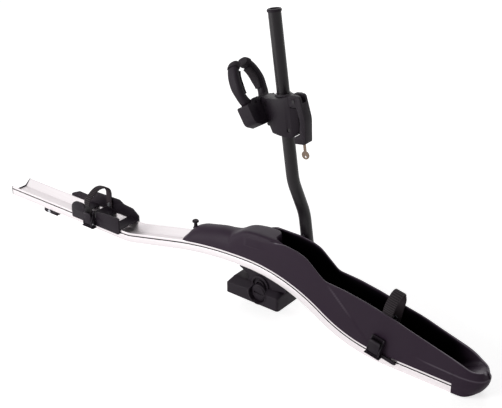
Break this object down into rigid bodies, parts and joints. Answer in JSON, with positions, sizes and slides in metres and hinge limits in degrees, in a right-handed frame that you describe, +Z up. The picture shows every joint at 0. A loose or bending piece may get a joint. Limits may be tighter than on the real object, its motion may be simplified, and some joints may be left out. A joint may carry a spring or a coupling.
{
  "type": "roof mounted bike carrier",
  "caption": "Bent aluminium rail on roof bar feet with a moulded front wheel tray, a folding clamp arm with locking claws, and a sliding strap cradle for the rear wheel.",
  "frame": {"origin": "middle of the front foot's rubber pad, on the top of the front roof bar", "axes": "+X along the rail toward the front wheel, +Y across the rail toward the arm's pivot, +Z up from the roof bars"},
  "size_m": [1.515, 0.1322, 0.7501],
  "materials": {
    "anodised_rail": "satin silver anodised extrusion",
    "tray_plastic": "black moulded polypropylene, fine grain",
    "moulded_black": "black moulded nylon, fine grain",
    "bush_plastic": "dark grey sliding bush",
    "soft_rubber": "black soft rubber",
    "strap_rubber": "black ribbed strap",
    "black_steel": "satin black powder coat",
    "zinc_steel": "bright zinc plate",
    "lock_metal": "nickel plated"
  },
  "bodies": {
    "base": {"rail": "anodised_rail", "rail_end_cap": "moulded_black", "tray_shell": "tray_plastic", "tray_screws": "zinc_steel", "rest_peg": "soft_rubber", "front_strap": "strap_rubber", "front_strap_rivet": "zinc_steel", "front_buckle": "moulded_black", "front_buckle_pin": "zinc_steel", "foot_pad": "soft_rubber", "foot_base": "moulded_black", "foot_saddle": "moulded_black", "foot_bolts": "zinc_steel", "bar_inserts": "zinc_steel", "foot_knob_spindle": "zinc_steel", "arm_bracket": "black_steel", "bracket_bolts": "zinc_steel", "pivot_bolt": "zinc_steel", "pivot_washers": "zinc_steel"},
    "front_buckle_lever": {"front_buckle_lever": "moulded_black"},
    "foot_knob": {"foot_knob": "moulded_black"},
    "cradle": {"wheel_cradle": "moulded_black", "rear_strap": "strap_rubber", "rear_strap_rivet": "zinc_steel", "rear_buckle": "moulded_black", "rear_buckle_pin": "zinc_steel"},
    "rear_buckle_lever": {"rear_buckle_lever": "moulded_black"},
    "rear_foot": {"rear_pad": "soft_rubber", "rear_foot_block": "moulded_black", "rear_foot_bolt": "zinc_steel", "rear_foot_nut": "zinc_steel"},
    "arm": {"arm_knuckle": "zinc_steel", "tube_rivet": "zinc_steel", "arm_tube": "black_steel", "arm_end_cap": "moulded_black"},
    "head": {"head_body": "moulded_black", "head_cover": "moulded_black", "head_screws": "zinc_steel", "upper_bush": "bush_plastic", "lower_bush": "bush_plastic", "claw_pins": "zinc_steel", "lever_pin": "zinc_steel"},
    "near_claw": {"near_claw": "moulded_black", "near_claw_pad": "soft_rubber", "near_claw_tip": "soft_rubber"},
    "far_claw": {"far_claw": "moulded_black", "far_claw_pad": "soft_rubber", "far_claw_tip": "soft_rubber"},
    "drawbar": {"draw_rod": "zinc_steel", "wedge": "zinc_steel"},
    "lever": {"clamp_lever": "moulded_black"},
    "lock": {"lock_barrel": "lock_metal", "lock_key": "lock_metal"}
  },
  "joints": [
    {"name": "arm_fold", "type": "hinge", "parent": "base", "child": "arm", "pos_m": [0.095, 0.055, 0.13], "axis": [0, 1, 0], "range_deg": [-62, 0]},
    {"name": "head_slide", "type": "slide", "parent": "arm", "child": "head", "axis": [-0.1495, 0, 0.9888], "range_m": [-0.08, 0.16]},
    {"name": "lever_open", "type": "hinge", "parent": "head", "child": "lever", "pos_m": [0.0897, 0, 0.5319], "axis": [0, -1, 0], "range_deg": [0, 100]},
    {"name": "near_claw_swing", "type": "hinge", "parent": "head", "child": "near_claw", "pos_m": [-0.02273, -0.021, 0.50057], "axis": [0.848, 0, 0.53], "range_deg": [0, 7.9]},
    {"name": "far_claw_swing", "type": "hinge", "parent": "head", "child": "far_claw", "pos_m": [-0.02273, 0.021, 0.50057], "axis": [0.848, 0, 0.53], "range_deg": [-7.9, 0]},
    {"name": "drawbar_slide", "type": "slide", "parent": "head", "child": "drawbar", "axis": [-0.848, 0, -0.53], "range_m": [0, 0.0075]},
    {"name": "key_turn", "type": "hinge", "parent": "lever", "child": "lock", "pos_m": [0.11205, 0, 0.4385], "axis": [-0.1495, 0, 0.9888], "range_deg": [0, 90]},
    {"name": "front_buckle_open", "type": "hinge", "parent": "base", "child": "front_buckle_lever", "pos_m": [0.3491, -0.0468, 0.0029], "axis": [0.9816, 0, -0.1908], "range_deg": [0, 95]},
    {"name": "rear_buckle_open", "type": "hinge", "parent": "cradle", "child": "rear_buckle_lever", "pos_m": [-0.564, -0.0506, 0.0365], "axis": [1, 0, 0], "range_deg": [0, 95]},
    {"name": "cradle_slide", "type": "slide", "parent": "base", "child": "cradle", "axis": [1, 0, 0], "range_m": [-0.15, 0]},
    {"name": "rear_foot_slide", "type": "slide", "parent": "base", "child": "rear_foot", "axis": [1, 0, 0], "range_m": [-0.11, 0.22]},
    {"name": "foot_knob_turn", "type": "hinge", "parent": "base", "child": "foot_knob", "pos_m": [0.022, -0.04, 0.032], "axis": [0, -1, 0], "continuous": true}
  ],
  "couplings": [
    {"joint": "near_claw_swing", "follows": "lever_open", "ratio": 0.075},
    {"joint": "far_claw_swing", "follows": "lever_open", "ratio": -0.075},
    {"joint": "drawbar_slide", "follows": "lever_open", "m_per_rad": 0.004}
  ]
}
